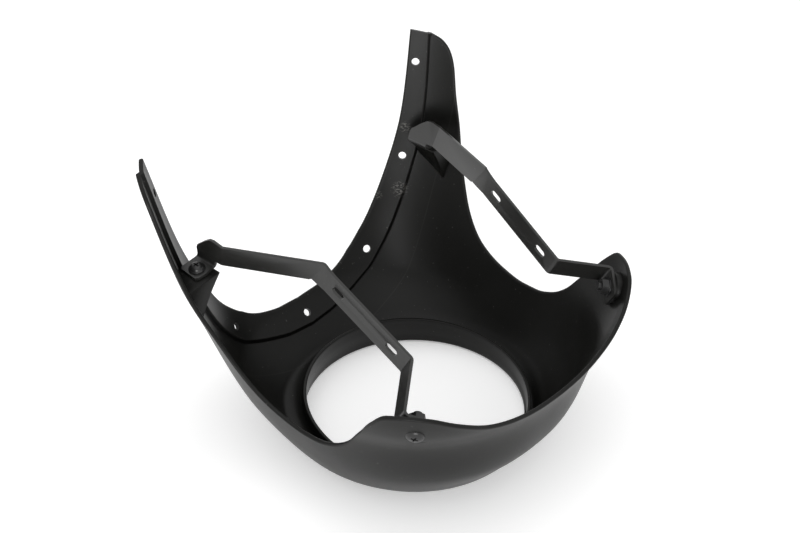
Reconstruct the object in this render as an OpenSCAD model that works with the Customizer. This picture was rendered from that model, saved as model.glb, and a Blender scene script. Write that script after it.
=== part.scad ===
// Headlight cowl of a road motorcycle: one moulded bowl-shaped shell that lies on its
// front lip, with two folded steel arms inside and the screws that hold them.
// Z points from the lip back towards the rider, Y is up on the machine, X is across.
// The origin is the centre of the front lip.

/* [Headlight collar] */
// Inside diameter of the collar that the headlight sits in
lamp_bore = 161; // [150:0.5:168]
// Wall of the collar
collar_wall = 2.5; // [2:0.25:3.5]
// Height of the collar's rim above the lip, at its centre
collar_height = 20; // [15:0.5:28]
// Lean of the collar against the plane of the lip, in degrees
collar_tilt = 4; // [0:0.5:5]
// Drop of the collar's centre below the centre of the lip
collar_drop = 1.5; // [0:0.25:2]
// Width of the rounded lip outside the bore
lip_width = 5; // [4:0.25:6]

/* [Shell] */
// Wall of the moulded shell
shell_wall = 3; // [2.5:0.25:3.5]
// Width across the ears, at three fifths of their height
cowl_width = 294; // [280:1:310]
// Rise of the crown above the centre
crown_rise = 153; // [148:1:158]
// Drop of the chin below the centre
chin_drop = 155; // [148:1:162]
// Height of the two ears above the lip
ear_height = 218; // [208:1:230]

/* [Screen flange] */
// Width of the recessed flange at the front, along the skin
flange_front = 27; // [24:0.5:30]
// Width of the recessed flange at the ears
flange_ear = 16.5; // [15:0.5:20]
// Depth of the step between skin and flange
flange_step = 3; // [2:0.25:3.5]
// Diameter of the screw holes in the flange
screen_hole = 6; // [4:0.5:8]
// Distance of the holes from the step
hole_inset = 11; // [8:0.5:12]

/* [Shelves for the arms] */
// Height of each shelf's inner edge above the lip
shelf_height = 142; // [139:0.5:145]
// Slope of the shelf's top down towards the skin, in degrees
shelf_lean = 8.5; // [6:0.5:10]
// Reach of the shelf inwards from the skin
shelf_reach = 26.5; // [25:0.5:28]
// End of the shelf nearer the middle
shelf_start = 79.5; // [78:0.5:81]
// Length of the shelf along the ear
shelf_length = 25; // [24:0.5:26]
// Drop of the wedge under the shelf
shelf_drop = 27.5; // [25:0.5:30]

/* [Arms] */
// Width of the steel strip
strip_width = 17.2; // [16:0.2:18]
// Thickness of the steel strip
strip_thick = 2; // [1.5:0.25:2.25]
// Inside radius of the bends
bend_radius = 2; // [1.5:0.25:2.5]
// How far each arm's elbow stands in from the cowl's widest place
elbow_inset = 67.3; // [65:0.1:69]
// How far the lower fold stands in from the cowl's widest place
fold_inset = 72.8; // [71:0.1:75]
// Place of the elbow along the machine's height
elbow_up = 11.5; // [9:0.5:13]
// Place of the lower fold along the machine's height
fold_down = -61.5; // [-64:0.5:-59]
// Height of the elbow above the lip
elbow_height = 161.8; // [159:0.2:164]
// Downward slope of the long arm, in degrees
arm_slope = 28.8; // [27:0.1:30]
// Outward lean of the upper arm, in degrees
upper_lean = 14; // [11:0.5:16]
// Turn of the lower fold, in degrees
fold_turn = 55; // [52:0.5:58]
// Length of the end plate beyond its fold
plate_length = 27; // [25:0.5:28]
// Length of the slots in the arm
slot_length = 10; // [8:0.5:12]
// Width of the slots in the arm
slot_width = 5.5; // [4:0.25:6]

/* [Fasteners] */
// Thread diameter of the upper screws
upper_screw = 5; // [4:0.5:6]
// Length of the upper screws under the head
upper_length = 7; // [6:0.5:7.5]
// Thread diameter of the lower screws
lobe_screw = 6; // [5:0.5:6.5]
// Head diameter of the lower screws
lobe_head = 13.8; // [12:0.2:15]
// Height of the lower screws' domed head
lobe_dome = 3.4; // [2.5:0.1:4]
// Thickness of the lower nuts
nut_thick = 5; // [4:0.25:6]
// Thickness of the washer face on the lower nuts
washer_thick = 1.2; // [1:0.1:1.6]
// Thickness of the seat under the lower screws
seat_thick = 6; // [5.8:0.1:6.6]
// Sink of the lower screws' seat into the skin
seat_sink = 0.8; // [0.6:0.1:1.2]
// Radial play of the screws in their holes
screw_play = 0.15; // [0.1:0.05:0.3]

/* [Hidden] */
$fn = 96;
bore_r = lamp_bore / 2;
lip_r = bore_r + lip_width;
half_w = cowl_width / 2;
elbow_out = half_w - elbow_inset;
fold_out = half_w - fold_inset;

// Shape of the skin from the lip upwards: height as a share of the ears, half width,
// rise and drop as shares of the full sizes, squareness of the upper and lower half.
shape = [
    [0, lip_r / half_w, lip_r / crown_rise, lip_r / chin_drop, 2, 2],
    [0.068, 0.673, 0.667, 0.623, 2.27, 2.1],
    [0.183, 0.752, 0.817, 0.735, 2.7, 2.25],
    [0.367, 0.844, 0.941, 0.806, 2.7, 2.3],
    [0.459, 0.893, 0.967, 0.865, 2.7, 2.5],
    [0.642, 1, 1, 1, 2.7, 2.2],
    [1, 1.13, 1.075, 1.25, 2.7, 2.2]
];

// Step around the screen flange, from the middle of the front up to the ear:
// angle from the top and height as a share of the ears.
step_line = [
    [0, 0.096], [10.5, 0.103], [22, 0.131], [31, 0.18], [36.5, 0.248], [40, 0.312],
    [43.5, 0.407], [46.5, 0.515], [48.3, 0.596], [49.7, 0.687], [50.4, 0.777], [50.8, 0.888],
    [51, 0.997]
];

// Open rim from the ear's end, down the side recess, over the lobe and round the chin.
rim_line = [
    [51, 0.997], [53.7, 0.978], [55.8, 0.943], [57, 0.893], [58, 0.793], [59.5, 0.692],
    [60.8, 0.594], [62.9, 0.5], [66, 0.408], [71.5, 0.331], [81, 0.282], [92, 0.262],
    [99, 0.265], [106, 0.288], [112, 0.335], [117, 0.418], [121, 0.49], [125.5, 0.543],
    [130.5, 0.557], [136, 0.55], [143.5, 0.507], [152.5, 0.45], [161, 0.42], [170, 0.406],
    [180, 0.403]
];

// Smooth curve through the rows of a table, along its first column
function span_at(t, x, i = 0) = i >= len(t) - 2 || x < t[i + 1][0] ? i : span_at(t, x, i + 1);
function rise(t, c, i) = (t[i + 1][c] - t[i][c]) / (t[i + 1][0] - t[i][0]);
function slope(t, c, i) =
    i == 0 ? rise(t, c, 0)
    : i == len(t) - 1 ? rise(t, c, i - 1)
    : let (a = rise(t, c, i - 1), b = rise(t, c, i)) a * b <= 0 ? 0 : 2 * a * b / (a + b);
function curve(t, c, x) =
    let (i = span_at(t, x), h = t[i + 1][0] - t[i][0], u = (x - t[i][0]) / h, v = 1 - u)
    t[i][c] * (1 + 2 * u) * v * v + slope(t, c, i) * h * u * v * v
    + t[i + 1][c] * u * u * (3 - 2 * u) - slope(t, c, i + 1) * h * u * u * v;

// Outer skin: angle a from the top, height z
function skin_r(a, z) =
    let (up = cos(a) >= 0, q = z / ear_height, n = curve(shape, up ? 4 : 5, q),
         w = half_w * curve(shape, 1, q),
         h = up ? crown_rise * curve(shape, 2, q) : chin_drop * curve(shape, 3, q))
    pow(pow(abs(sin(a)) / w, n) + pow(abs(cos(a)) / h, n), -1 / n);
function skin(a, z) = let (r = skin_r(a, z)) [r * sin(a), r * cos(a), z];
function unit(v) = v / norm(v);
function skin_n(a, z) =
    unit(cross(skin(a, z + 0.3) - skin(a, z - 0.3), skin(a + 0.3, z) - skin(a - 0.3, z)));
function skin_in(a, z, d) = skin(a, z) - d * skin_n(a, z);
// Half width of the skin at a height y on the machine and a height z above the lip
function skin_x(y, z) =
    let (q = z / ear_height, n = curve(shape, 4, q))
    half_w * curve(shape, 1, q) * pow(1 - pow(y / (crown_rise * curve(shape, 2, q)), n), 1 / n);

// Points [angle, height] along the two edge lines, by row number
function rows_of(t) = [for (i = [0:len(t) - 1]) [i, t[i][0], t[i][1] * ear_height]];
step_rows = rows_of(step_line);
rim_rows = rows_of(rim_line);
function step_at(t) = [curve(step_rows, 1, t), curve(step_rows, 2, t)];
function rim_at(t) = [curve(rim_rows, 1, t), curve(rim_rows, 2, t)];
function step_point(t) = let (p = step_at(t)) skin(p[0], p[1]);

// Place [angle, height] on the skin at a distance d from the step, across the flange
function across(t, d) =
    let (p = step_at(t), s = t < 0.05 ? [1, 0, 0] : unit(step_point(t + 0.05) - step_point(t - 0.05)),
         q = skin(p[0], p[1]) + d * unit(cross(s, skin_n(p[0], p[1]))))
    [atan2(q[0], q[1]), q[2]];
function flange_w(t) =
    let (q = (step_at(t)[1] / ear_height - step_line[0][1]) / (1 - step_line[0][1]))
    flange_front + (flange_ear - flange_front) * q;

// The shell is one sheet: columns run from the lip to the edge, and those under the
// flange go on over the step to the flange's own edge.
cuts = 2;
levels = 10;
step_cols = cuts * (len(step_line) - 1);
rim_cols = cuts * (len(rim_line) - 1);
half_cols = step_cols + rim_cols;
all_cols = 2 * half_cols;
function col_end(c) = c <= step_cols ? step_at(c / cuts) : rim_at((c - step_cols) / cuts);
function side(c) = c <= half_cols ? c : c - all_cols;
function flip(c, p) = c < 0 ? [-p[0], p[1], p[2]] : p;
ends = [for (c = [0:half_cols]) col_end(c)];
function level_z(c, j) = ends[c][1] * pow(j / levels, 1.3);

function main_points(d) = [
    for (i = [0:all_cols - 1])
        let (c = side(i), k = abs(c))
        for (j = [0:levels]) flip(c, skin_in(ends[k][0], level_z(k, j), d))
];
bands = 3;
chain = bands + 2;
function band_d(k, w) = flange_step + (w - flange_step) * k / bands;
function flange_points(inner) = [
    for (c = [-step_cols:step_cols])
        let (t = abs(c) / cuts, w = flange_w(t), s = step_at(t), b = across(t, flange_step))
        each concat(
            [flip(c, inner ? skin_in(s[0], s[1], shell_wall + flange_step) : skin(b[0], b[1]))],
            [for (k = [0:bands])
                let (e = across(t, band_d(k, w)))
                flip(c, skin_in(e[0], e[1], inner ? shell_wall + flange_step : flange_step))])
];
main_n = all_cols * (levels + 1);
flange_n = (2 * step_cols + 1) * chain;
function mo(i, j) = (i % all_cols) * (levels + 1) + j;
function mi(i, j) = main_n + mo(i, j);
function fo(c, k) = k == 0 ? mo(c + all_cols, levels) : 2 * main_n + (c + step_cols) * chain + k - 1;
function fi(c, k) = k == 0 ? mi(c + all_cols, levels) : fo(c, k) + flange_n;
function quad(a, b, c, d, turned) = turned ? [[a, b, d], [b, c, d]] : [[a, b, c], [a, c, d]];

module sheet() {
    points = concat(main_points(0), main_points(shell_wall), flange_points(false), flange_points(true));
    faces = concat(
        [for (i = [0:all_cols - 1], j = [0:levels - 1])
            each quad(mo(i, j), mo(i + 1, j), mo(i + 1, j + 1), mo(i, j + 1), i < half_cols)],
        [for (i = [0:all_cols - 1], j = [0:levels - 1])
            each quad(mi(i, j), mi(i, j + 1), mi(i + 1, j + 1), mi(i + 1, j), i >= half_cols)],
        [for (i = [0:all_cols - 1])
            each quad(mo(i, 0), mi(i, 0), mi(i + 1, 0), mo(i + 1, 0), i < half_cols)],
        [for (i = [step_cols:all_cols - step_cols - 1])
            each quad(mo(i, levels), mo(i + 1, levels), mi(i + 1, levels), mi(i, levels), i < half_cols)],
        [for (c = [-step_cols:step_cols - 1], k = [0:chain - 1])
            each quad(fo(c, k), fo(c + 1, k), fo(c + 1, k + 1), fo(c, k + 1), c >= 0)],
        [for (c = [-step_cols:step_cols - 1], k = [0:chain - 1])
            each quad(fi(c, k), fi(c, k + 1), fi(c + 1, k + 1), fi(c + 1, k), c < 0)],
        [for (c = [-step_cols:step_cols - 1])
            each quad(fo(c, chain), fo(c + 1, chain), fi(c + 1, chain), fi(c, chain), c >= 0)],
        [for (k = [0:chain - 1])
            each quad(fo(step_cols, k), fi(step_cols, k), fi(step_cols, k + 1), fo(step_cols, k + 1), true)],
        [for (k = [0:chain - 1])
            each quad(fo(-step_cols, k), fo(-step_cols, k + 1), fi(-step_cols, k + 1), fi(-step_cols, k), false)]
    );
    polyhedron(points = points, faces = faces, convexity = 10);
}

// Front lip and collar
lip_round = lip_width + 2;
module collar_body() {
    rotate_extrude()
        polygon([[bore_r - 3, 0], [lip_r - 0.1, 0], [lip_r + 1.8, 3.4], [bore_r + 4.5, 8],
                 [bore_r - 3, 8]]);
    translate([0, -collar_drop, 0]) rotate([collar_tilt, 0, 0]) {
        cylinder(r = bore_r + collar_wall, h = collar_height);
    }
}
module collar_cut() {
    translate([0, -collar_drop, 0]) rotate([collar_tilt, 0, 0]) {
        translate([0, 0, -20]) cylinder(r = bore_r, h = collar_height + 40);
    }
    rotate_extrude()
        polygon(concat([[0, -1], [lip_r - 0.3, -1]],
            [for (k = [0:8]) let (a = 90 * k / 8)
                [lip_r - 0.3 - lip_round * sin(a), lip_round - lip_round * cos(a)]],
            [[0, lip_round]]));
    translate([0, 0, -40]) cylinder(r = lip_r + 20, h = 40);
}

// Wedge-shaped shelf in each ear, with a blind hole for the upper screw. Its top slopes
// down to the skin, and its underside runs back to the skin in one slant.
shelf_x = skin_x(shelf_start + shelf_length / 2, shelf_height) - shelf_reach;
shelf_nose = 0.8;
shelf_steps = 4;
shelf_draft = 3;
function wall_mid(y, z) =
    let (x = skin_x(y, z), p = skin_in(atan2(x, y), z, shell_wall / 2)) [p[0], y, z];
function shelf_top(x) = shelf_height - (x - shelf_x) * tan(shelf_lean);
function shelf_ring(u) =
    let (y = shelf_start + shelf_length * u, d = shelf_draft * (1 - u) / 3,
         w = wall_mid(y, shelf_top(wall_mid(y, shelf_height - 4)[0])), z = shelf_top(w[0]))
    [
        [shelf_x, y, shelf_height],
        [w[0], y, z],
        wall_mid(y + d, z - shelf_drop / 3),
        wall_mid(y + 2 * d, z - shelf_drop * 2 / 3),
        wall_mid(y + 3 * d, z - shelf_drop),
        [shelf_x, y, shelf_height - shelf_nose]
    ];
module shelf() {
    points = [for (k = [0:shelf_steps]) each shelf_ring(k / shelf_steps)];
    e = 6 * shelf_steps;
    faces = concat(
        [for (k = [0:shelf_steps - 1], i = [0:5])
            each quad(6 * k + i, 6 * (k + 1) + i, 6 * (k + 1) + (i + 1) % 6, 6 * k + (i + 1) % 6, true)],
        [for (i = [0:3]) [5, i, i + 1]],
        [for (i = [0:3]) [e + 5, e + i + 1, e + i]]
    );
    polyhedron(points = points, faces = faces, convexity = 4);
}
// Frame of the shelf's top: origin on its inner edge, X towards the skin, Z off the shelf
module on_shelf() {
    translate([shelf_x, 0, shelf_height]) rotate([0, shelf_lean, 0]) children();
}

// Frames of the arm. Each panel has a direction along it, a direction up its width and a
// normal; the end plate stands in the shelf's frame, and folds lie where two panels meet.
half = strip_width / 2;
bend_mid = bend_radius + strip_thick / 2;
shelf_u = [cos(shelf_lean), 0, -sin(shelf_lean)];
shelf_w = [sin(shelf_lean), 0, cos(shelf_lean)];
plate_in = bend_mid - 0.8;
plate_y = shelf_start - 3.5;
plate_mid = 14.2;
fold_a = [shelf_x, plate_y, shelf_height] - plate_in * shelf_u + plate_mid * shelf_w;
elbow = [elbow_out, elbow_up, elbow_height];
up_length = norm(fold_a - elbow);
d1 = (fold_a - elbow) / up_length;
n1_flat = unit([d1[1], -d1[0], 0]);
w1_flat = cross(n1_flat, d1);
w1 = w1_flat * cos(upper_lean) + n1_flat * sin(upper_lean);
n1 = n1_flat * cos(upper_lean) - w1_flat * sin(upper_lean);
arm_plan = unit([fold_out - elbow_out, fold_down - elbow_up, 0]);
arm_run = norm([fold_out - elbow_out, fold_down - elbow_up]);
arm_length = arm_run / cos(arm_slope);
d2 = arm_plan * cos(arm_slope) - [0, 0, sin(arm_slope)];
w2 = arm_plan * sin(arm_slope) + [0, 0, cos(arm_slope)];
y2 = cross(w2, d2);
elbow_fold = unit(cross(n1, y2));
plate_fold = unit(cross(n1, shelf_u));
d3 = d2 * cos(fold_turn) + y2 * sin(fold_turn);
y3 = y2 * cos(fold_turn) - d2 * sin(fold_turn);
fold_b = elbow + d2 * arm_length;
tab_length = 22;
tab_centre = 11.5;
// Distance along the screw's axis from the lower fold's plane out to the skin
axis_start = fold_b - y3 * tab_centre;
function outside(p) = norm([p[0], p[1]]) - skin_r(atan2(p[0], p[1]), p[2]);
function reach(lo, hi, n = 24) =
    let (m = (lo + hi) / 2) n == 0 ? m : outside(axis_start + d3 * m) > 0 ? reach(lo, m, n - 1) : reach(m, hi, n - 1);
skin_reach = reach(15, 90);
head_seat = skin_reach - seat_sink;
pad_face = head_seat - seat_thick;
leg_length = pad_face - strip_thick / 2;

module on_axes(p, x, y, z) {
    multmatrix([
        [x[0], y[0], z[0], p[0]],
        [x[1], y[1], z[1], p[1]],
        [x[2], y[2], z[2], p[2]],
        [0, 0, 0, 1]
    ]) children();
}
// Local Z runs outwards along the lower screw, from the lower fold's plane
module lobe_axis() {
    on_axes(axis_start, -y3, -w2, d3) children();
}
module upper_axis() {
    on_shelf() translate([11 - plate_in, shelf_start + shelf_length / 2 + 0.5, 0]) children();
}
module both_sides() {
    children();
    mirror([1, 0, 0]) children();
}

module cowl_shell() {
    color([0.09, 0.09, 0.09])
    difference() {
        union() {
            sheet();
            collar_body();
            both_sides() {
                shelf();
                lobe_axis() translate([0, 0, pad_face]) cylinder(r = 11, h = seat_thick - 1);
            }
        }
        collar_cut();
        screen_holes();
        both_sides() {
            lobe_axis() {
                cylinder(r = lobe_screw / 2 + screw_play, h = skin_reach + 10);
                translate([0, 0, head_seat]) cylinder(r = lobe_head / 2 + 0.8, h = 12);
            }
            upper_axis() translate([0, 0, strip_thick - upper_length - 0.5])
                cylinder(r = upper_screw / 2 + screw_play, h = upper_length + 10);
        }
    }
}

// Seven holes along the flange, one in the middle and three on each side
hole_rows = [3.6, 7.5, 11.1];
module screen_hole_at(t) {
    p = across(t, hole_inset);
    n = skin_n(p[0], p[1]);
    x = unit(cross([0, 0, 1], n));
    on_axes(skin_in(p[0], p[1], flange_step + shell_wall / 2), x, cross(n, x), n)
        cylinder(d = screen_hole, h = shell_wall + 5, center = true);
}
module screen_holes() {
    screen_hole_at(0);
    both_sides() {
        for (t = hole_rows) screen_hole_at(t);
    }
}

// Flat panel of the strip, drawn in its own plane: x along it, y up its width
module panel() {
    rotate([90, 0, 0]) linear_extrude(height = strip_thick, center = true) children();
}
// Round outside of a sharp fold through a point, from one place along it to another
module fold_rod(p, f, from, to) {
    x = unit(cross(f, [1, 0, 0]));
    on_axes(p, x, cross(f, x), f) translate([0, 0, from])
        cylinder(d = strip_thick - 0.06, h = to - from, $fn = 12);
}
module slot(l) {
    rotate([90, 0, 0]) {
        for (s = [-1, 1])
            translate([s * (l - slot_width) / 2, 0, 0])
                cylinder(d = slot_width, h = strip_thick + 2, center = true, $fn = 32);
        cube([l - slot_width, slot_width, strip_thick + 2], center = true);
    }
}
fold_cut = bend_mid * tan(fold_turn / 2);
arm_mid = 30;
// Folded profile of the arm's lower end, seen along the fold lines: the run from the
// middle of the long arm, the open fold, the leg and the end tab folded back
bend_steps = 6;
function turned(a) = [cos(a), sin(a)];
function corner(c, from, to) = [
    for (k = [0:bend_steps])
        let (a = from + (to - from) * k / bend_steps, s = to > from ? -1 : 1)
        [c + s * bend_mid * [-sin(a), cos(a)], a]
];
leg_corner = [arm_length, 0] + leg_length * turned(fold_turn);
tab_turn = fold_turn - 90;
path = concat(
    [[[arm_mid, 0], 0]],
    corner([arm_length - fold_cut, bend_mid], 0, fold_turn),
    corner(leg_corner - bend_mid * turned(fold_turn) + bend_mid * turned(tab_turn), fold_turn, tab_turn),
    [[leg_corner + tab_length * turned(tab_turn), tab_turn]]
);
function fold_profile() = concat(
    [for (q = path) q[0] + strip_thick / 2 * [-sin(q[1]), cos(q[1])]],
    [for (i = [len(path) - 1:-1:0]) path[i][0] - strip_thick / 2 * [-sin(path[i][1]), cos(path[i][1])]]
);
slot_places = [19.3, 69.3];
// The elbow's fold and the plate's fold as drawn in the upper arm's plane, the elbow's in
// the long arm's plane and the plate's in the plate's plane
elbow_up_dir = [elbow_fold * d1, elbow_fold * w1];
elbow_low_dir = [elbow_fold * d2, elbow_fold * w2];
plate_up_dir = [plate_fold * d1, plate_fold * w1];
plate_dir = [plate_fold[1], plate_fold * shelf_w];
elbow_end = 0.9 * half / elbow_up_dir[1];
elbow_skew = half * elbow_up_dir[0] / elbow_up_dir[1];
plate_skew = half * plate_up_dir[0] / plate_up_dir[1];
plate_end = half / plate_up_dir[1];
plate_top = plate_mid + plate_end * plate_dir[1];

module bracket() {
    color([0.2, 0.2, 0.2])
    difference() {
        union() {
            // upper arm, from the elbow to the end plate
            on_axes(elbow, d1, -n1, w1) panel()
                polygon([-elbow_end * elbow_up_dir, [-elbow_skew + 1.5, -half],
                         [up_length - plate_skew, -half], [up_length + plate_skew, half],
                         [elbow_skew + 2.3, half], elbow_end * elbow_up_dir]);
            // long arm, sloping down from the elbow to the lower folds
            on_axes(elbow, d2, y2, w2) {
                panel() polygon([
                    -elbow_end * elbow_low_dir, [3.5, -half - 0.9], [10, -half], [arm_mid, -half],
                    [arm_mid, half], [12, half], [6, half + 0.5], elbow_end * elbow_low_dir
                ]);
                translate([0, 0, -half]) linear_extrude(height = strip_width) polygon(fold_profile());
            }
            fold_rod(elbow, elbow_fold, 0.1 - elbow_end, elbow_end - 0.1);
            fold_rod(fold_a, plate_fold, 0.1 - plate_end, plate_end - 0.1);
            // end plate, its bend and the tab on the shelf
            on_shelf() translate([-plate_in, plate_y, 0]) {
                rotate([0, 0, 90]) panel()
                    polygon([[0, plate_mid] - plate_end * plate_dir, [8.4, 5.2],
                             [9.2, strip_thick / 2 + bend_mid], [plate_length, strip_thick / 2 + bend_mid],
                             [plate_length - 0.8, 0.42 * plate_top], [plate_length - 2.4, 0.55 * plate_top],
                             [plate_length - 5.5, 0.65 * plate_top], [plate_length - 10, 0.82 * plate_top],
                             [plate_length - 14, 0.95 * plate_top], [plate_length - 17, 1.03 * plate_top],
                             [plate_length - 21, 1.06 * plate_top], [0, plate_mid] + plate_end * plate_dir]);
                translate([bend_mid, plate_length, strip_thick / 2 + bend_mid]) rotate([90, 0, 0])
                    linear_extrude(height = plate_length - 9.2) polygon(bend_ring());
                translate([bend_mid, 0, 0]) linear_extrude(height = strip_thick)
                    polygon([[0, 9.2], [7, 8], [13, 8.5], [15.4, 10.5], [14.3, plate_length - 1.5],
                             [12.5, plate_length], [0, plate_length]]);
            }
        }
        on_axes(elbow, d2, y2, w2)
            for (s = slot_places) translate([s, 0, 0]) slot(slot_length);
        lobe_axis() translate([0, 0, leg_length - 5]) cylinder(r = lobe_screw / 2 + screw_play, h = 10);
        tab_corners();
        upper_axis() translate([0, 0, -2]) cylinder(r = upper_screw / 2 + screw_play, h = 8);
    }
}
// Quarter bend between plate and tab, seen along its axis
function bend_ring() = concat(
    [for (k = [0:6]) (bend_radius + strip_thick) * turned(180 + 15 * k)],
    [for (k = [6:-1:0]) bend_radius * turned(180 + 15 * k)]
);
// What is cut off the lower tab to round its corners
module tab_corners() {
    r = 3;
    for (t = [-1, 1])
        on_axes(fold_b + d3 * leg_length, -y3, -w2, d3)
            translate([tab_length - r, t * (half - r), 0]) difference() {
                translate([0, t > 0 ? 0 : -r - 2, -strip_thick]) cube([r + 2, r + 2, 2 * strip_thick]);
                cylinder(r = r, h = 6 * strip_thick, center = true, $fn = 32);
            }
}
module bracket_right() {
    bracket();
}
module bracket_left() {
    mirror([1, 0, 0]) bracket();
}

// Cross recess in a screw head, cut downwards from local z = 0
module cross_recess(w) {
    for (a = [0, 90])
        rotate([0, 0, a]) translate([-w / 2, -w / 8, -1.8]) cube([w, w / 4, 4]);
}
module upper_screws() {
    head = 1.9 * upper_screw;
    color([0.3, 0.3, 0.3])
    both_sides() upper_axis() translate([0, 0, strip_thick]) difference() {
        union() {
            translate([0, 0, -upper_length]) cylinder(d = upper_screw, h = upper_length + 1, $fn = 48);
            rotate_extrude($fn = 48) polygon([[0, 0], [head / 2 + 1, 0], [head / 2 + 1, 0.8], [head / 2, 1.2],
                [head / 2 - 0.2, 2.4], [head / 2 - 1.2, 3.3], [head / 2 - 2.6, 3.7], [0, 3.8]]);
        }
        translate([0, 0, 3.8]) cross_recess(4.6);
    }
}
module lobe_screws() {
    r = lobe_head / 2;
    inner = seat_thick + strip_thick + washer_thick + nut_thick + 2;
    color([0.3, 0.3, 0.3])
    both_sides() lobe_axis() translate([0, 0, head_seat]) difference() {
        union() {
            translate([0, 0, -inner]) cylinder(d = lobe_screw, h = inner + 1, $fn = 48);
            rotate_extrude($fn = 64) polygon(concat([[0, 0], [r, 0]],
                [for (k = [0:6]) [r * cos(15 * k), 0.6 + (lobe_dome - 0.6) * sin(15 * k)]]));
        }
        translate([0, 0, lobe_dome]) cross_recess(5.4);
    }
}
module lobe_nuts() {
    color([0.35, 0.35, 0.35])
    both_sides() lobe_axis() translate([0, 0, leg_length - strip_thick / 2]) difference() {
        union() {
            translate([0, 0, -washer_thick]) cylinder(d = 2.2 * lobe_screw, h = washer_thick, $fn = 48);
            translate([0, 0, -washer_thick - nut_thick]) cylinder(d = 1.92 * lobe_screw, h = nut_thick, $fn = 6);
        }
        translate([0, 0, -20]) cylinder(d = lobe_screw + screw_play, h = 30, $fn = 48);
    }
}

cowl_shell();
bracket_left();
bracket_right();
upper_screws();
lobe_screws();
lobe_nuts();
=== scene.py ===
import bpy
import bmesh
import math
import numpy as np
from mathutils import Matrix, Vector


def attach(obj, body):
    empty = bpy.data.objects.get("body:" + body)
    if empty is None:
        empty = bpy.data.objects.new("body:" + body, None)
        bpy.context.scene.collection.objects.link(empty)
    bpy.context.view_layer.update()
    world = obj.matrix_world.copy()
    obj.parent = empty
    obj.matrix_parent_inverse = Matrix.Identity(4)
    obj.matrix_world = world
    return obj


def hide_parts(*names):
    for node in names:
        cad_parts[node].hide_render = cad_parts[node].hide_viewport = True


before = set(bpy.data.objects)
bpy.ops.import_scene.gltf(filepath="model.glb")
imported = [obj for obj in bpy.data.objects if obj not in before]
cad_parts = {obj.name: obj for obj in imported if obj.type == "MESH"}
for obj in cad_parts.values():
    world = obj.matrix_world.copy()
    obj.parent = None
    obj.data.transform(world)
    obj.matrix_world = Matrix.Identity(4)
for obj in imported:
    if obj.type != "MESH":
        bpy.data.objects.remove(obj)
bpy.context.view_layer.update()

# The moulded shell: one bowl of satin black plastic, drawn finer than the solid model,
# with rounded rims, the joggle of the screen flange and the fillet round the collar.
# It comes out of the mould as one piece with its two shelves and two screw pads.
HALF_W, CROWN, CHIN, EAR = 147.0, 153.0, 155.0, 218.0
WALL, STEP = 3.0, 3.0
BORE, LIP = 80.5, 85.5

# Lengths are millimetres until a mesh is made. Angles run in degrees from the crown.
# Rows of the skin: share of the ear's height, then the half width, the crown and the chin
# as shares of the three sizes above, then the superellipse's power above and below.
SHAPE = np.array([
    [0, LIP / HALF_W, LIP / CROWN, LIP / CHIN, 2, 2],
    [0.068, 0.673, 0.667, 0.623, 2.27, 2.1],
    [0.183, 0.752, 0.817, 0.735, 2.7, 2.25],
    [0.367, 0.844, 0.941, 0.806, 2.7, 2.3],
    [0.459, 0.893, 0.967, 0.865, 2.7, 2.5],
    [0.642, 1, 1, 1, 2.7, 2.2],
    [1, 1.13, 1.075, 1.25, 2.7, 2.2]])
# Rows of the two edge lines: angle, and share of the ear's height
STEP_LINE = np.array([
    [0, 0.096], [10.5, 0.103], [22, 0.131], [31, 0.18], [36.5, 0.248], [40, 0.312],
    [43.5, 0.407], [46.5, 0.515], [48.3, 0.596], [49.7, 0.687], [50.4, 0.777], [50.8, 0.888],
    [51, 0.997]])
RIM_LINE = np.array([
    [51, 0.997], [53.7, 0.978], [55.8, 0.943], [57, 0.893], [58, 0.793], [59.5, 0.692],
    [60.8, 0.594], [62.9, 0.5], [66, 0.408], [71.5, 0.331], [81, 0.282], [92, 0.262],
    [99, 0.265], [106, 0.288], [112, 0.335], [117, 0.418], [121, 0.499], [125.5, 0.553],
    [130.5, 0.559], [136, 0.551], [143.5, 0.512], [152.5, 0.461], [161, 0.431], [170, 0.414],
    [180, 0.409]])
STEP_END, RIM_END = len(STEP_LINE) - 1, len(RIM_LINE) - 1


def curve(x0, y0, x):
    """Smooth monotone curve through a short table, read at x."""
    x = np.asarray(x, float)
    rise = np.diff(y0) / np.diff(x0)
    slope = np.r_[rise[0], np.zeros(len(x0) - 2), rise[-1]]
    a, b = rise[:-1], rise[1:]
    same = a * b > 0
    slope[1:-1][same] = 2 * a[same] * b[same] / (a[same] + b[same])
    i = np.clip(np.searchsorted(x0, x, side="right") - 1, 0, len(x0) - 2)
    h = x0[i + 1] - x0[i]
    u = (x - x0[i]) / h
    v = 1 - u
    return (y0[i] * (1 + 2 * u) * v * v + slope[i] * h * u * v * v
            + y0[i + 1] * u * u * (3 - 2 * u) - slope[i + 1] * h * u * u * v)


def eased(x):
    """Soft step from 0 to 1."""
    x = np.clip(x, 0, 1)
    return x * x * (3 - 2 * x)


def unit(v):
    return v / np.linalg.norm(v, axis=-1, keepdims=True)


def skin(a, z):
    """Outer skin at an angle from the crown and a height."""
    a, z = np.broadcast_arrays(np.asarray(a, float), np.asarray(z, float))
    q, r = z / EAR, np.radians(a)
    s, c = np.sin(r), np.cos(r)
    above = c >= 0
    width, crown, chin, power_above, power_below = (
        curve(SHAPE[:, 0], SHAPE[:, k], q) for k in range(1, 6))
    n = np.where(above, power_above, power_below)
    h = np.where(above, CROWN * crown, CHIN * chin)
    rad = ((np.abs(s) / (HALF_W * width)) ** n + (np.abs(c) / h) ** n) ** (-1 / n)
    return np.stack([rad * s, rad * c, z], -1)


def skin_normal(a, z, near=0.3):
    upwards = skin(a, z + near) - skin(a, z - near)
    return unit(np.cross(upwards, skin(a + near, z) - skin(a - near, z)))


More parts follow.
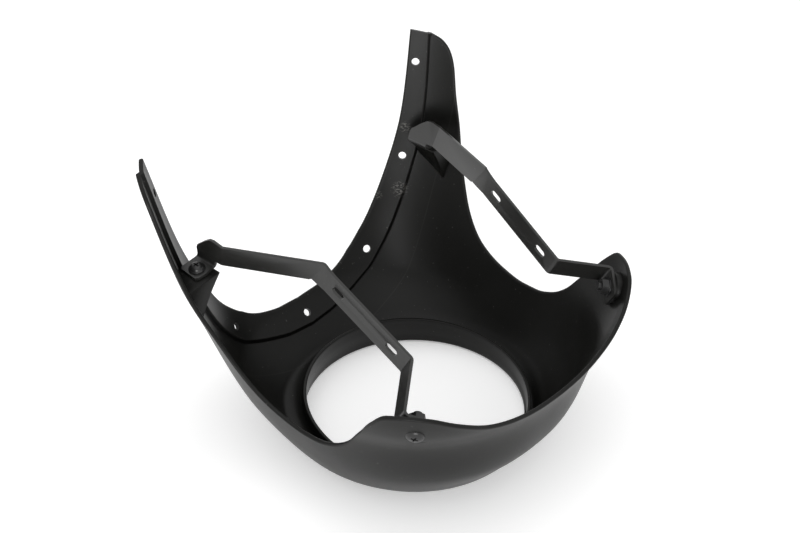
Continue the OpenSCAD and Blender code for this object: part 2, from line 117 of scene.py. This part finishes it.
def deep(a, z, d):
    """The point of the wall that lies d under the outer skin."""
    return skin(a, z) - np.asarray(d, float)[..., None] * skin_normal(a, z)


def angle_of(p):
    return np.degrees(np.arctan2(p[..., 0], p[..., 1]))


def line_at(table, t):
    """Angle and height of an edge line at a row number, which may be a fraction."""
    rows = np.arange(len(table), dtype=float)
    return curve(rows, table[:, 0], t), curve(rows, table[:, 1], t) * EAR


def line_way(table, t, near):
    """Direction in which an edge line runs."""
    ahead = skin(*line_at(table, np.minimum(t + near, len(table) - 1)))
    return unit(ahead - skin(*line_at(table, np.maximum(t - near, 0))))


# Columns of the mesh run from the lip up to the edge line, on one half of the bowl. The
# step line and the free rim each have their points, normals, and directions along and out.
STEP_CUTS, RIM_CUTS = 8, 6
step_t = np.linspace(0, STEP_END, STEP_END * STEP_CUTS + 1)
rim_t = np.linspace(0, RIM_END, RIM_END * RIM_CUTS + 1)
step_a, step_z = line_at(STEP_LINE, step_t)
rim_a, rim_z = line_at(RIM_LINE, rim_t)
step_p, step_n = skin(step_a, step_z), skin_normal(step_a, step_z)
rim_p, rim_n = skin(rim_a, rim_z), skin_normal(rim_a, rim_z)
step_s = line_way(STEP_LINE, step_t, 0.05)
step_s[0] = [1, 0, 0]
step_o = unit(np.cross(step_s, step_n))
rim_s = line_way(RIM_LINE, rim_t, 0.03)
rim_s[-1] = [-1, 0, 0]
rim_o = unit(np.cross(rim_n, rim_s))
rim_o *= np.where(rim_o[:, 2:] < 0, -1, 1)

# The recessed flange for the screen. Its wall sinks by one step across the joggle, a
# little less at the ears, where it also leans along the line.
FLANGE_FRONT, FLANGE_EAR, FLANGE_LEAN = 27.0, 16.5, 0.17
JOGGLE_START, JOGGLE_LENGTH, JOGGLE_LOSS = 2.2, 1.6, 0.2
EDGE_ROUND = 1.1
FLANGE_ROWS = 10
near_rows = np.array([0, 0.25, 0.5, 0.75, 1.0, 1.3, 1.8, 2.3, 2.6, 2.9, 3.2, 3.5, 3.9, 4.6])
quarter = np.radians(np.linspace(0, 90, 5))
edge_back, edge_sunk = EDGE_ROUND * (1 - np.sin(quarter)), EDGE_ROUND * (1 - np.cos(quarter))


def flange_place(d):
    """Angle and height of points at distances d across the flange, one row per column."""
    tilt = FLANGE_LEAN * (step_t / STEP_END) ** 6
    out = unit(step_o + tilt[:, None] * step_s)
    q = step_p[:, None] + d[..., None] * out[:, None]
    return angle_of(q), q[..., 2]


front_share = STEP_LINE[0, 1]
flange_w = FLANGE_FRONT + (FLANGE_EAR - FLANGE_FRONT) * (step_z / EAR - front_share) / (1 - front_share)
joggle = STEP * (1 - JOGGLE_LOSS * (step_t / STEP_END) ** 3)
far_rows = (flange_w[:, None] - EDGE_ROUND - near_rows[-1]) * np.linspace(0, 1, FLANGE_ROWS + 1)[1:]
d_rows = np.concatenate([np.tile(near_rows, (len(step_t), 1)), near_rows[-1] + far_rows], 1)
flange_a, flange_z = flange_place(d_rows)
flange_out = deep(flange_a, flange_z, joggle[:, None] * eased((d_rows - JOGGLE_START) / JOGGLE_LENGTH))
flange_in = deep(flange_a, flange_z, WALL + joggle[:, None] * eased(d_rows / JOGGLE_START))
edge_a, edge_z = flange_place(flange_w[:, None] + 0 * quarter)
edge_p = deep(edge_a, edge_z, np.broadcast_to(joggle[:, None], edge_a.shape))
edge_n = skin_normal(edge_a, edge_z)
edge_o = unit(edge_p[:, 0] - flange_out[:, -1])[:, None]
turn_p = edge_p - edge_back[None, :, None] * edge_o
turn_out = turn_p - edge_sunk[None, :, None] * edge_n
turn_in = turn_p - (WALL - edge_sunk)[None, :, None] * edge_n
# One chain per column: over the flange outside, round its edge and back inside
chain = np.concatenate([flange_out, turn_out[:, 1:], turn_in[:, ::-1][:, :-1], flange_in[:, ::-1]], 1)

# The rounded rim of the free edge, growing from nothing at the corner of the ear
RIM_GROWTH, RIM_MARGIN, RIM_START = 0.6, 2.4, 1.9
grow = np.clip(rim_t / RIM_GROWTH, 0, 1)[:, None]
back_out = np.r_[RIM_START, edge_back]
sunk_out = np.r_[0.0, edge_sunk]
strip_q = np.r_[back_out, back_out[::-1]] * grow
strip_d = np.concatenate([sunk_out * grow, WALL - sunk_out[::-1] * grow], 1)
strip = rim_p[:, None] - strip_q[..., None] * rim_o[:, None] - strip_d[..., None] * rim_n[:, None]
inset = rim_p - RIM_MARGIN * grow * rim_o
inset_a, inset_z = angle_of(inset), inset[:, 2]
inset_a[-1] = 180.0
strip = np.concatenate([skin(inset_a, inset_z)[:, None], strip,
                        deep(inset_a, inset_z, np.full(len(inset_a), WALL))[:, None]], 1)

# The bowl's two faces, with their rows closer together near the lip
LEVELS, CROWDING, BOWL_FOOT = 42, 1.25, 9.5
col_a = np.r_[step_a, inset_a[1:]]
col_z = np.r_[step_z, inset_z[1:]]
level = np.linspace(0, 1, LEVELS + 1) ** CROWDING
in_z = BOWL_FOOT + (col_z[:, None] - BOWL_FOOT) * level
main_out = skin(col_a[:, None], col_z[:, None] * level)
main_in = deep(col_a[:, None], in_z, np.full(in_z.shape, WALL))

# The rounded lip, the bore, the tilted collar and the fillet at its foot, row by row
# from the outer skin inwards
COLLAR_TILT, COLLAR_DROP, COLLAR_H, COLLAR_WALL = math.radians(4), 1.5, 20.0, 2.5
LIP_ROUND, LIP_EDGE, BORE_START, TILT_LENGTH = 6.2, 85.2, 3.2, 8.0
COLLAR_ROUND, COLLAR_SHOULDER, FILLET_TOP = 0.7, 17.0, 13.5
FILLET_PULL_WALL, FILLET_PULL_BOWL = 6.0, 5.0
ca, sa = np.cos(np.radians(col_a)), np.sin(np.radians(col_a))


def ring(r, z):
    return np.stack([r * sa, r * ca, np.full(len(col_a), float(z))], -1)


def collar_ring(r, z):
    """A ring in the collar's own tilted frame."""
    p = ring(r, z)
    y = p[:, 1] * math.cos(COLLAR_TILT) - z * math.sin(COLLAR_TILT) - COLLAR_DROP
    height = p[:, 1] * math.sin(COLLAR_TILT) + z * math.cos(COLLAR_TILT)
    return np.stack([p[:, 0], y, height], -1)


def wall_foot_at(z):
    """The bowl's inner face at one height, round the whole half."""
    return deep(col_a, np.full(len(col_a), z), np.full(len(col_a), WALL))


lip_rows = [ring(LIP_EDGE - LIP_ROUND * math.sin(a), LIP_ROUND - LIP_ROUND * math.cos(a))
            for a in np.radians([4, 12, 20, 28, 36, 44])]
lip_rows += [ring(BORE + 0.12, 2.4), ring(BORE, BORE_START)]
for z in (5, 7, 9.5, 12, 14.5, COLLAR_SHOULDER):
    w = eased((z - BORE_START) / TILT_LENGTH)
    lip_rows.append((1 - w) * ring(BORE, z) + w * collar_ring(BORE, z))
for r, way, turns in ((BORE, 1, [0, 30, 60, 90]), (BORE + COLLAR_WALL, -1, [90, 60, 30, 0])):
    for a in np.radians(turns):
        lip_rows.append(collar_ring(r + way * COLLAR_ROUND * (1 - math.cos(a)),
                                    COLLAR_H - COLLAR_ROUND + COLLAR_ROUND * math.sin(a)))
fillet_top = collar_ring(BORE + COLLAR_WALL, FILLET_TOP)
wall_down = unit(fillet_top - collar_ring(BORE + COLLAR_WALL, COLLAR_SHOULDER))
bowl_down = unit(wall_foot_at(BOWL_FOOT) - wall_foot_at(BOWL_FOOT + 2))
for t in np.linspace(0, 1, 9):
    b0, b3 = fillet_top, main_in[:, 0]
    b1, b2 = b0 + FILLET_PULL_WALL * wall_down, b3 + FILLET_PULL_BOWL * bowl_down
    lip_rows.append((1 - t) ** 3 * b0 + 3 * t * (1 - t) ** 2 * b1 + 3 * t * t * (1 - t) * b2 + t ** 3 * b3)

# One closed sheet: down the outside, through lip and collar, and up the inside. The
# flange's chains and the two rim strips close it along the edge line.
profile = np.concatenate([main_out[:, ::-1], np.stack(lip_rows, 1), main_in], 1)
mirror = np.array([-1.0, 1, 1])
points, faces = [], []


def sheet(grid, closed=False):
    """Adds a grid of points, column by column, and returns its first number and its quads."""
    columns, rows = grid.shape[:2]
    first = sum(len(p) for p in points)
    points.append(grid.reshape(-1, 3))
    quads = []
    for i in range(columns if closed else columns - 1):
        a, b = first + i * rows, first + (i + 1) % columns * rows
        quads += [(a + k, a + k + 1, b + k + 1, b + k) for k in range(rows - 1)]
    return first, quads


faces += sheet(np.concatenate([profile, (profile[1:-1] * mirror)[::-1]], 0), closed=True)[1]
both_chains = np.concatenate([(chain[1:] * mirror)[::-1], chain], 0)
first, quads = sheet(both_chains)
faces += [(a, d, c, b) for a, b, c, d in quads]
long = both_chains.shape[1]
for column in (0, len(both_chains) - 1):
    for k in range(long // 2):
        a, b = first + column * long + k, first + column * long + long - 1 - k
        if b - a > 1:
            faces.append((a, a + 1, b - 1, b) if column == 0 else (a, b, b - 1, a + 1))
faces += sheet(strip)[1]
faces += [quad[::-1] for quad in sheet(strip * mirror)[1]]


def mesh_of(name, points, polys):
    """A mesh object from millimetre points, with doubles merged and normals outwards."""
    me = bpy.data.meshes.new(name)
    me.from_pydata([tuple(p) for p in points], [], polys)
    bm = bmesh.new()
    bm.from_mesh(me)
    bmesh.ops.remove_doubles(bm, verts=bm.verts, dist=0.02)
    bmesh.ops.dissolve_degenerate(bm, edges=bm.edges, dist=1e-4)
    bmesh.ops.recalc_face_normals(bm, faces=bm.faces)
    bmesh.ops.scale(bm, vec=Vector((0.001,) * 3), verts=bm.verts)
    bm.to_mesh(me)
    bm.free()
    ob = bpy.data.objects.new(name, me)
    bpy.context.scene.collection.objects.link(ob)
    return ob


def applied(ob):
    """Turns what an object's modifiers make into its plain mesh."""
    dg = bpy.context.evaluated_depsgraph_get()
    made = bpy.data.meshes.new_from_object(ob.evaluated_get(dg), depsgraph=dg)
    ob.modifiers.clear()
    ob.data = made
    return ob


shell = mesh_of("moulded_shell", np.concatenate(points), faces)

# The holes: seven through the screen flange, and one with a recessed seat through each
# lobe. The lobe's screw axis starts at the arm's lower fold and runs outwards.
HOLE_ROWS, HOLE_INSET, HOLE_R, HOLE_DEPTH = (3.6, 7.5, 11.1), 11.0, 3.0, 12.0
LOBE_START = np.array([67.002, -69.236, 117.016])
LOBE_WAY = np.array([0.779075, -0.562751, -0.276323])
LOBE_HOLE_R, LOBE_HOLE_DEPTH, LOBE_HOLE_MIDDLE = 3.15, 40.0, 45.0
RECESS_R, RECESS_DEPTH, RECESS_FLOOR = 7.8, 12.0, 47.5


def screen_hole_at(t):
    """Middle and direction of a flange hole, at a row of the step line."""
    a, z = line_at(STEP_LINE, np.array([t]))
    p, n = skin(a, z)[0], skin_normal(a, z)[0]
    along = np.array([1.0, 0, 0]) if t == 0 else line_way(STEP_LINE, np.array([t]), 0.05)[0]
    q = p + HOLE_INSET * unit(np.cross(along, n))
    return deep(angle_of(q), q[2], STEP + WALL / 2), skin_normal(angle_of(q), q[2])


def drill_places():
    """Radius, depth, middle and direction of every cut."""
    cuts = [(HOLE_R, HOLE_DEPTH, *screen_hole_at(0.0))]
    for t in HOLE_ROWS:
        p, n = screen_hole_at(t)
        cuts += [(HOLE_R, HOLE_DEPTH, p, n), (HOLE_R, HOLE_DEPTH, p * mirror, n * mirror)]
    recess_middle = RECESS_FLOOR + RECESS_DEPTH / 2
    for side in (1, -1):
        m = np.array([side, 1, 1])
        for r, depth, middle in ((LOBE_HOLE_R, LOBE_HOLE_DEPTH, LOBE_HOLE_MIDDLE),
                                 (RECESS_R, RECESS_DEPTH, recess_middle)):
            cuts.append((r, depth, (LOBE_START + middle * LOBE_WAY) * m, LOBE_WAY * m))
    return cuts


cuts = drill_places()
cutters = bpy.data.meshes.new("hole_places")
cutters.from_pydata([tuple(c[2] * 0.001) for c in cuts], [], [])
for name, kind, slot, values in (("way", "FLOAT_VECTOR", "vector", [c[3] for c in cuts]),
                                 ("radius", "FLOAT", "value", [c[0] * 0.001 for c in cuts]),
                                 ("depth", "FLOAT", "value", [c[1] * 0.001 for c in cuts])):
    attribute = cutters.attributes.new(name, kind, "POINT")
    attribute.data.foreach_set(slot, np.array(values, np.float32).ravel())
places = bpy.data.objects.new("hole_places", cutters)
bpy.context.scene.collection.objects.link(places)

# The drilling itself is a geometry tree: a cylinder stands on each place, and the sum of
# them is cut from the shell
drill = bpy.data.node_groups.new("drilled_holes", "GeometryNodeTree")
drill.interface.new_socket("Geometry", in_out="INPUT", socket_type="NodeSocketGeometry")
drill.interface.new_socket("Hole places", in_out="INPUT", socket_type="NodeSocketObject")
drill.interface.new_socket("Sides", in_out="INPUT", socket_type="NodeSocketInt").default_value = 40
drill.interface.new_socket("Material", in_out="INPUT", socket_type="NodeSocketMaterial")
drill.interface.new_socket("Geometry", in_out="OUTPUT", socket_type="NodeSocketGeometry")


def step(kind, **settings):
    """A node of the drilling tree."""
    n = drill.nodes.new(kind)
    for key, value in settings.items():
        setattr(n, key, value)
    return n


given, result = step("NodeGroupInput"), step("NodeGroupOutput")
info = step("GeometryNodeObjectInfo", transform_space="ORIGINAL")
cylinder = step("GeometryNodeMeshCylinder", fill_type="NGON")
cylinder.inputs["Radius"].default_value = 1.0
cylinder.inputs["Depth"].default_value = 1.0
read = {}
for name, kind in (("way", "FLOAT_VECTOR"), ("radius", "FLOAT"), ("depth", "FLOAT")):
    read[name] = step("GeometryNodeInputNamedAttribute", data_type=kind)
    read[name].inputs["Name"].default_value = name
turn = step("FunctionNodeAlignRotationToVector", axis="Z")
size = step("ShaderNodeCombineXYZ")
put = step("GeometryNodeInstanceOnPoints")
real = step("GeometryNodeRealizeInstances")
cut = step("GeometryNodeMeshBoolean", operation="DIFFERENCE", solver="EXACT")
paint = step("GeometryNodeSetMaterial")
for source, target in (
        (given.outputs["Hole places"], info.inputs["Object"]),
        (given.outputs["Sides"], cylinder.inputs["Vertices"]),
        (info.outputs["Geometry"], put.inputs["Points"]),
        (cylinder.outputs["Mesh"], put.inputs["Instance"]),
        (read["way"].outputs[0], turn.inputs["Vector"]),
        (turn.outputs[0], put.inputs["Rotation"]),
        (read["radius"].outputs[0], size.inputs["X"]),
        (read["radius"].outputs[0], size.inputs["Y"]),
        (read["depth"].outputs[0], size.inputs["Z"]),
        (size.outputs[0], put.inputs["Scale"]),
        (put.outputs[0], real.inputs[0]),
        (given.outputs["Geometry"], cut.inputs["Mesh 1"]),
        (real.outputs[0], cut.inputs["Mesh 2"]),
        (cut.outputs["Mesh"], paint.inputs["Geometry"]),
        (given.outputs["Material"], paint.inputs["Material"]),
        (paint.outputs[0], result.inputs[0])):
    drill.links.new(source, target)

# Satin moulded plastic: black, with a very fine grain, faint sink and flow clouds, and
# a few grey specks of dust. Ragged trimming marks show at a few places.
GREY_DUST, SCRAPED = [0.12, 0.115, 0.11], [0.1, 0.098, 0.09]


def colour(v):
    return (*v, 1.0)


def maths(tree, operation, *values):
    """The output of a Math node that is fed with sockets and plain numbers."""
    n = tree.nodes.new("ShaderNodeMath")
    n.operation = operation
    for i, value in enumerate(values):
        if isinstance(value, (int, float)):
            n.inputs[i].default_value = value
        else:
            tree.links.new(value, n.inputs[i])
    return n.outputs[0]


def mapped(tree, value, from_range=(0.0, 1.0), to_range=(0.0, 1.0)):
    """The output of a Map Range node."""
    n = tree.nodes.new("ShaderNodeMapRange")
    n.inputs["From Min"].default_value, n.inputs["From Max"].default_value = from_range
    n.inputs["To Min"].default_value, n.inputs["To Max"].default_value = to_range
    tree.links.new(value, n.inputs["Value"])
    return n.outputs["Result"]


def noise(tree, vector, scale, detail, rough=0.5):
    """The output of a Noise Texture, whose scale is a socket or a plain number."""
    n = tree.nodes.new("ShaderNodeTexNoise")
    n.inputs["Detail"].default_value = detail
    n.inputs["Roughness"].default_value = rough
    tree.links.new(vector, n.inputs["Vector"])
    if isinstance(scale, (int, float)):
        n.inputs["Scale"].default_value = scale
    else:
        tree.links.new(scale, n.inputs["Scale"])
    return n.outputs["Fac"]


def blended(tree, factor, first, second):
    """The output of a colour Mix node from a socket to a plain colour."""
    n = tree.nodes.new("ShaderNodeMix")
    n.data_type = "RGBA"
    n.inputs["B"].default_value = colour(second)
    tree.links.new(factor, n.inputs["Factor"])
    tree.links.new(first, n.inputs["A"])
    return n.outputs["Result"]


speckle = bpy.data.node_groups.new("grain_and_dust", "ShaderNodeTree")
for label, value in (("Grain scale", 900.0), ("Cloud scale", 22.0), ("Dust", 0.5)):
    socket = speckle.interface.new_socket(label, in_out="INPUT", socket_type="NodeSocketFloat")
    socket.default_value = value
for label in ("Grain", "Cloud", "Specks"):
    speckle.interface.new_socket(label, in_out="OUTPUT", socket_type="NodeSocketFloat")
given, result = speckle.nodes.new("NodeGroupInput"), speckle.nodes.new("NodeGroupOutput")
place = speckle.nodes.new("ShaderNodeTexCoord").outputs["Object"]
specks = mapped(speckle, noise(speckle, place, 420, 2), (0.71, 0.77))
for label, source in (("Grain", noise(speckle, place, given.outputs["Grain scale"], 3)),
                      ("Cloud", noise(speckle, place, given.outputs["Cloud scale"], 4, 0.6)),
                      ("Specks", maths(speckle, "MULTIPLY", specks, given.outputs["Dust"]))):
    speckle.links.new(source, result.inputs[label])


def satin(name, base, dust, rough, cloudy, bump, grain_scale, spec=0.5, metallic=0.0):
    """A black finish: clouds move colour and gloss a little, grain makes the bump."""
    m = bpy.data.materials.new(name)
    m.use_nodes = True
    nt = m.node_tree
    surface = nt.nodes["Principled BSDF"]
    effect = nt.nodes.new("ShaderNodeGroup")
    effect.node_tree = speckle
    effect.inputs["Grain scale"].default_value = grain_scale
    effect.inputs["Dust"].default_value = dust
    ramp = nt.nodes.new("ShaderNodeValToRGB")
    low, high = ramp.color_ramp.elements
    low.position, high.position = 0.3, 0.7
    low.color = colour([c * (1 - cloudy) for c in base])
    high.color = colour([c * (1 + cloudy) for c in base])
    nt.links.new(effect.outputs["Cloud"], ramp.inputs["Fac"])
    tint = blended(nt, effect.outputs["Specks"], ramp.outputs["Color"], GREY_DUST)
    gloss = mapped(nt, effect.outputs["Cloud"], to_range=(rough - 0.06, rough + 0.06))
    relief = nt.nodes.new("ShaderNodeBump")
    relief.inputs["Strength"].default_value = bump
    relief.inputs["Distance"].default_value = 0.0002
    nt.links.new(effect.outputs["Grain"], relief.inputs["Height"])
    nt.links.new(tint, surface.inputs["Base Color"])
    nt.links.new(gloss, surface.inputs["Roughness"])
    nt.links.new(relief.outputs["Normal"], surface.inputs["Normal"])
    surface.inputs["Metallic"].default_value = metallic
    surface.inputs["Specular IOR Level"].default_value = spec
    return m


def marks(m, places, line_y):
    """Ragged trimming marks at a few places, and the mould's faint parting line inside."""
    nt = m.node_tree
    surface = nt.nodes["Principled BSDF"]
    here = nt.nodes.new("ShaderNodeTexCoord").outputs["Object"]
    stretch = nt.nodes.new("ShaderNodeMapping")
    stretch.inputs["Scale"].default_value = (1.0, 0.45, 1.7)
    nt.links.new(here, stretch.inputs["Vector"])
    ragged = mapped(nt, noise(nt, stretch.outputs[0], 700, 2), (0.5, 0.6))
    near_place = None
    for x, y, z, r in places:
        far = nt.nodes.new("ShaderNodeVectorMath")
        far.operation = "DISTANCE"
        far.inputs[1].default_value = (x / 1000, y / 1000, z / 1000)
        nt.links.new(here, far.inputs[0])
        near = mapped(nt, far.outputs["Value"], (r / 1000, 0.4 * r / 1000))
        near_place = near if near_place is None else maths(nt, "MAXIMUM", near_place, near)
    split = nt.nodes.new("ShaderNodeSeparateXYZ")
    nt.links.new(here, split.inputs[0])
    line = maths(nt, "COMPARE", split.outputs["Y"], line_y / 1000, 0.00035)
    mask = maths(nt, "MAXIMUM", maths(nt, "MULTIPLY", near_place, ragged), maths(nt, "MULTIPLY", line, 0.06))
    plain = surface.inputs["Base Color"].links[0].from_socket
    nt.links.new(blended(nt, mask, plain, SCRAPED), surface.inputs["Base Color"])


# Trim marks as x, y, z and radius, and the height of the parting line on the machine
TRIM_MARKS = [(99.5, 107.8, 99.7, 8), (111.7, 113.9, 147.5, 5), (-44.7, 123.3, 54.2, 4),
              (86.3, 118.8, 95.5, 4)]
PARTING_Y = 88
plastic = satin("satin_black_plastic", (0.0042, 0.0042, 0.0036), 0.3, 0.38, 0.12, 0.2, 1500, spec=0.2)
marks(plastic, TRIM_MARKS, PARTING_Y)

drilling = shell.modifiers.new(drill.name, "NODES")
drilling.node_group = drill
values = {"Hole places": places, "Sides": 40, "Material": plastic}
for item in drill.interface.items_tree:
    if item.in_out == "INPUT" and item.name in values:
        drilling[item.identifier] = values[item.name]
applied(shell)
bpy.data.objects.remove(places)

# The two wedge shelves and the two pads stand on the inside of the same moulding. A
# wedge has a sloping top and a hollowed underside that rises towards its far end.
SHELF_Y, SHELF_L, SHELF_Z, SHELF_REACH = 79.5, 25.0, 142.0, 26.5
SHELF_SLOPE = math.tan(math.radians(8.5))
WEDGE_DROP, WEDGE_MIDDLE, WEDGE_CUTS = 30.0, 14.0, 7
# Rows of a pad: depth along the screw's axis, and radius
PAD_ROWS, PAD_SIDES = ((42.65, 10.2), (42.75, 10.6), (43.2, 11), (47.1, 11.3)), 48


def half_width(y, z):
    q = z / EAR
    w, c, n = (curve(SHAPE[:, 0], SHAPE[:, k], q) for k in (1, 2, 4))
    return HALF_W * w * (1 - (y / (CROWN * c)) ** n) ** (1 / n)


def wall_middle(y, z):
    """A point inside the wall's thickness, so that a wedge grows out of the wall."""
    x = half_width(y, z)
    return np.array([deep(np.degrees(np.arctan2(x, y)), z, WALL / 2)[0], y, z])


shelf_x = float(half_width(SHELF_Y + SHELF_L / 2, SHELF_Z)) - SHELF_REACH


def shelf_top(x):
    return SHELF_Z - (x - shelf_x) * SHELF_SLOPE


def shelf_ring(u):
    """Section of the wedge: over its top, down the wall and back up the hollowed slant."""
    y, slant, left = SHELF_Y + SHELF_L * u, 3 * (1 - u), 1 - u / 2
    wall = wall_middle(y, shelf_top(wall_middle(y, SHELF_Z - 4)[0]))
    z = shelf_top(wall[0])
    foot = wall_middle(y + slant, z - WEDGE_DROP * left)
    nose = np.array([shelf_x, y, SHELF_Z - 0.8])
    ring_points = [np.array([shelf_x + 0.5, y, shelf_top(shelf_x + 0.5)]), np.array([wall[0], y, z]),
                   wall_middle(y + slant / 2, z - WEDGE_MIDDLE * left), foot]
    for s in np.linspace(0, 1, WEDGE_CUTS)[1:]:
        hollow = np.array([0.9, 0, 1.2]) * math.sin(math.pi * s)
        ring_points.append(foot + (nose - foot) * s + hollow)
    return ring_points


def tube(rings):
    """Points and faces of a closed tube through rings with equally many points."""
    n, last = len(rings[0]), len(rings) - 1
    polys = [(i * n + k, i * n + (k + 1) % n, (i + 1) * n + (k + 1) % n, (i + 1) * n + k)
             for i in range(last) for k in range(n)]
    return np.array([p for r in rings for p in r]), polys, range(n), range(last * n, (last + 1) * n)


def pad_rings(m):
    """Rings of a screw pad on one side, round the lobe's axis."""
    x = unit(np.cross(LOBE_WAY * m, [0, 0, 1]))
    y = np.cross(LOBE_WAY * m, x)
    turns = [2 * math.pi * i / PAD_SIDES for i in range(PAD_SIDES)]
    return [[(LOBE_START + depth * LOBE_WAY) * m + r * (math.cos(a) * x + math.sin(a) * y) for a in turns]
            for depth, r in PAD_ROWS]


def bevelled(ob, width, angle=30):
    mod = ob.modifiers.new("rounded_edges", "BEVEL")
    mod.width, mod.segments = width, 2
    mod.limit_method, mod.angle_limit = "ANGLE", math.radians(angle)
    return applied(ob)


def shade(ob, angle):
    for f in ob.data.polygons:
        f.use_smooth = True
    ob.data.set_sharp_from_angle(angle=math.radians(angle))


extras = []
for k, label in ((1, "right"), (-1, "left")):
    m = np.array([k, 1, 1])
    wedge, polys, start, end = tube([shelf_ring(u) for u in np.linspace(0, 1, WEDGE_CUTS)])
    polys += [tuple(start), tuple(reversed(end))]
    extras.append(bevelled(mesh_of("shelf_" + label, wedge * m, polys), 0.0007))
    pad, polys, start, end = tube(pad_rings(m))
    polys += [tuple(reversed(start)), tuple(end)]
    extras.append(mesh_of("pad_" + label, pad, polys))

whole = bmesh.new()
for ob in [shell] + extras:
    whole.from_mesh(ob.data)
whole.to_mesh(shell.data)
whole.free()
for ob in extras:
    bpy.data.objects.remove(ob)
shell.data.materials.clear()
shell.data.materials.append(plastic)
for f in shell.data.polygons:
    f.material_index = 0
shade(shell, 38)
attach(shell, "root")
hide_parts("cowl_shell")

# The two arms: flat steel strip, punched and folded, dipped in satin black. The solids'
# own shape is kept, and only their sheared edges are broken by a small bevel.
coating = satin("satin_black_coating", (0.017, 0.017, 0.016), 0.25, 0.3, 0.1, 0.12, 2200)


def edges_broken(name, label, width, mat, angle=20):
    """A CAD node's own shape, merged and given small bevels in place of sharp edges."""
    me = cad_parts[name].data.copy()
    ob = bpy.data.objects.new(label, me)
    bpy.context.scene.collection.objects.link(ob)
    bm = bmesh.new()
    bm.from_mesh(me)
    bmesh.ops.remove_doubles(bm, verts=bm.verts, dist=2e-6)
    bmesh.ops.dissolve_limit(bm, angle_limit=math.radians(0.6), verts=bm.verts, edges=bm.edges)
    bm.to_mesh(me)
    bm.free()
    bevelled(ob, width, angle)
    ob.data.materials.clear()
    ob.data.materials.append(mat)
    shade(ob, 26)
    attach(ob, "root")
    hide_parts(name)
    return ob


for side in ("left", "right"):
    edges_broken("bracket_" + side, "arm_" + side, 0.0003, coating)

# The screws and nuts: cold-headed steel, blackened. Two pan heads with a washer face sit
# on the arms' tabs, two low domes outside the lobes, with a nut on each inside.
HEAD_START, HEAD_SHARE = 0.0486, 0.87
blacking = satin("blackened_steel", (0.02, 0.02, 0.02), 0.2, 0.3, 0.15, 0.1, 2500, metallic=0.3)


def narrow_heads(ob):
    """The domed heads are drawn narrower than their recess, which leaves a dark ring."""
    for v in ob.data.vertices:
        m = [math.copysign(1, v.co.x), 1, 1]
        start, way = Vector(LOBE_START * m) / 1000, Vector(LOBE_WAY * m)
        along = (v.co - start).dot(way)
        on_axis = start + way * along
        if along > HEAD_START:
            v.co = on_axis + (v.co - on_axis) * HEAD_SHARE


for name, label, slot in (("upper_screws", "pan_screws", "screw"), ("lobe_screws", "dome_screws", "screw"),
                          ("lobe_nuts", "washer_nuts", "nut")):
    ob = edges_broken(name, label, 0.00025, blacking, 40)
    if name == "lobe_screws":
        narrow_heads(ob)

# The studio: a white sheet under the part, even light from above and a softer lamp from
# the left, and the photograph's viewing angle.
floor_mesh = bpy.data.meshes.new("floor")
floor_mesh.from_pydata([(-6, -6, 0), (6, -6, 0), (6, 6, 0), (-6, 6, 0)], [], [(0, 1, 2, 3)])
floor = bpy.data.objects.new("floor", floor_mesh)
bpy.context.scene.collection.objects.link(floor)
paper = bpy.data.materials.new("white_paper")
paper.use_nodes = True
sheet_look = paper.node_tree.nodes["Principled BSDF"]
sheet_look.inputs["Base Color"].default_value = (0.93, 0.93, 0.93, 1)
sheet_look.inputs["Roughness"].default_value = 0.9
sheet_look.inputs["Specular IOR Level"].default_value = 0.1
sheet_look.inputs["Emission Color"].default_value = (1, 1, 1, 1)


def background_rays(tree):
    """A mask of the rays that show the white background: camera, glossy and transmission."""
    path = tree.nodes.new("ShaderNodeLightPath")
    mask = maths(tree, "MAXIMUM", path.outputs["Is Camera Ray"], path.outputs["Is Glossy Ray"])
    return maths(tree, "MAXIMUM", mask, path.outputs["Is Transmission Ray"])


glow = mapped(paper.node_tree, background_rays(paper.node_tree), to_range=(0.0, 0.3))
paper.node_tree.links.new(glow, sheet_look.inputs["Emission Strength"])
floor.data.materials.append(paper)

world = bpy.data.worlds.new("studio")
bpy.context.scene.world = world
world.use_nodes = True
sky = world.node_tree
tone = sky.nodes.new("ShaderNodeValToRGB")
horizon_tone, zenith_tone = tone.color_ramp.elements
horizon_tone.position, zenith_tone.position = 0.0, 0.9
horizon_tone.color, zenith_tone.color = colour([1.0] * 3), colour([0.8] * 3)
upwards = sky.nodes.new("ShaderNodeSeparateXYZ")
sky.links.new(sky.nodes.new("ShaderNodeTexCoord").outputs["Generated"], upwards.inputs[0])
sky.links.new(upwards.outputs["Z"], tone.inputs["Fac"])
white = blended(sky, background_rays(sky), tone.outputs["Color"], [1.0] * 3)
sky.links.new(white, sky.nodes["Background"].inputs["Color"])
sky.nodes["Background"].inputs["Strength"].default_value = 1.0


def turned_to(ob, place, aim):
    """Puts a lamp or the camera at a place and turns it to what it aims at."""
    ob.location = place
    ob.rotation_euler = (Vector(aim) - Vector(place)).to_track_quat("-Z", "Y").to_euler()
    bpy.context.scene.collection.objects.link(ob)


for name, place, aim, width, power in (("overhead", (-0.2, -0.1, 1.7), (0, 0, 0.05), 1.6, 4),
                                       ("left_fill", (-1.5, -1.3, 0.35), (0, 0, 0.12), 0.9, 16)):
    light = bpy.data.lights.new(name, "AREA")
    light.shape, light.size, light.energy = "DISK", width, power
    turned_to(bpy.data.objects.new(name, light), place, aim)

EYE, LOOK_AT = (-0.60374, -0.55167, 0.71174), (0.12581, 0.13242, 0.0)
lens = bpy.data.cameras.new("camera")
lens.sensor_width = 36
lens.lens = 65.97
lens.clip_start, lens.clip_end = 0.05, 50
camera = bpy.data.objects.new("camera", lens)
turned_to(camera, EYE, LOOK_AT)
bpy.context.scene.camera = camera
bpy.context.scene.view_settings.view_transform = "Standard"
